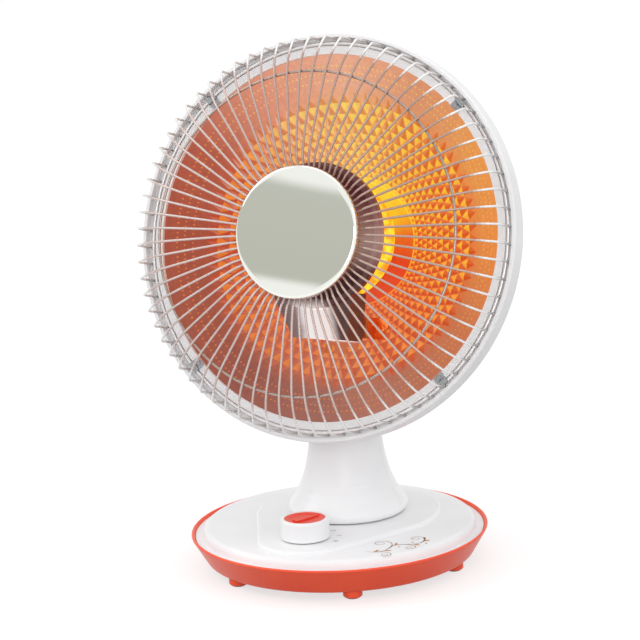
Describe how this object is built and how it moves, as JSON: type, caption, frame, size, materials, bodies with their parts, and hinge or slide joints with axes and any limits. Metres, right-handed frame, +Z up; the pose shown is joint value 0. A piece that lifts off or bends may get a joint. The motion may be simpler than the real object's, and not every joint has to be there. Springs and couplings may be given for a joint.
{
  "type": "carbon heater",
  "caption": "Table-top dish heater: wire-guarded reflector with a ring-shaped carbon tube, tilting on a swinging neck over a weighted round base.",
  "frame": {"origin": "on the floor under the middle of the base, which is also the bottom centre of the bounding box", "axes": "+Z up, front of the heater towards -Y, tilt bolt along X"},
  "size_m": [0.34, 0.252, 0.4444],
  "materials": {
    "orange_plastic": "glossy orange-red",
    "white_plastic": "glossy warm white",
    "black_rubber": "matt",
    "dark_plastic": "matt",
    "cream_plastic": "matt",
    "ballast_steel": "dark, unpolished",
    "zinc_steel": "zinc-plated",
    "reflector_sheet": "bright, embossed",
    "shield_sheet": "bright, reflecting the glow",
    "guard_wire": "bright plated",
    "mirror_cap": "mirror",
    "quartz": "clear quartz",
    "ceramic": "white ceramic",
    "carbon": "glowing carbon",
    "nickel_lead": "bright"
  },
  "bodies": {
    "base": {"base_shell": "orange_plastic", "foot_pads": "black_rubber", "ballast_plate": "ballast_steel", "ballast_screws": "zinc_steel", "base_screws": "zinc_steel", "base_cover": "white_plastic", "cord_gland": "black_rubber", "terminal_block": "cream_plastic", "tip_over_switch": "dark_plastic", "rotary_switch": "dark_plastic", "switch_nut": "zinc_steel", "swing_motor": "zinc_steel", "motor_screws": "zinc_steel"},
    "knob": {"switch_shaft": "zinc_steel", "knob": "white_plastic", "knob_insert": "orange_plastic"},
    "crank": {"swing_crank": "cream_plastic"},
    "neck": {"swivel_plate": "zinc_steel", "swivel_retainer": "zinc_steel", "retainer_screws": "zinc_steel", "neck_post": "ballast_steel", "post_screws": "zinc_steel", "neck_front": "white_plastic", "neck_rear": "white_plastic", "neck_screws": "zinc_steel", "tilt_bolt": "zinc_steel", "tilt_nut": "zinc_steel", "tilt_washers": "ballast_steel"},
    "head": {"rear_housing": "white_plastic", "front_ring": "white_plastic", "reflector": "reflector_sheet", "heat_shield": "shield_sheet", "element_rivets": "zinc_steel", "quartz_tube": "quartz", "carbon_filament": "carbon", "ceramic_holders": "ceramic", "holder_bracket": "zinc_steel", "element_leads": "nickel_lead", "thermal_cutout": "ceramic", "guard_wires": "guard_wire", "guard_rear_ring": "guard_wire", "guard_mid_ring": "guard_wire", "guard_hub_ring": "guard_wire", "cap_plate": "mirror_cap", "cap_backing": "zinc_steel", "cap_screw": "zinc_steel", "guard_clips": "zinc_steel", "clip_screws": "zinc_steel"}
  },
  "joints": [
    {"name": "knob_turn", "type": "hinge", "parent": "base", "child": "knob", "pos_m": [0, -0.066, 0.045], "axis": [0, 0, 1], "range_deg": [-60, 30]},
    {"name": "swing", "type": "hinge", "parent": "base", "child": "neck", "pos_m": [0, 0.02, 0.04], "axis": [0, 0, 1], "range_deg": [-30, 30]},
    {"name": "crank_turn", "type": "hinge", "parent": "base", "child": "crank", "pos_m": [0, 0.048, 0.025], "axis": [0, 0, 1], "range_deg": [-90, 90]},
    {"name": "head_tilt", "type": "hinge", "parent": "neck", "child": "head", "pos_m": [0, 0.02, 0.118], "axis": [1, 0, 0], "range_deg": [-10, 12]}
  ],
  "couplings": [
    {"joint": "crank_turn", "follows": "swing", "ratio": 3}
  ]
}
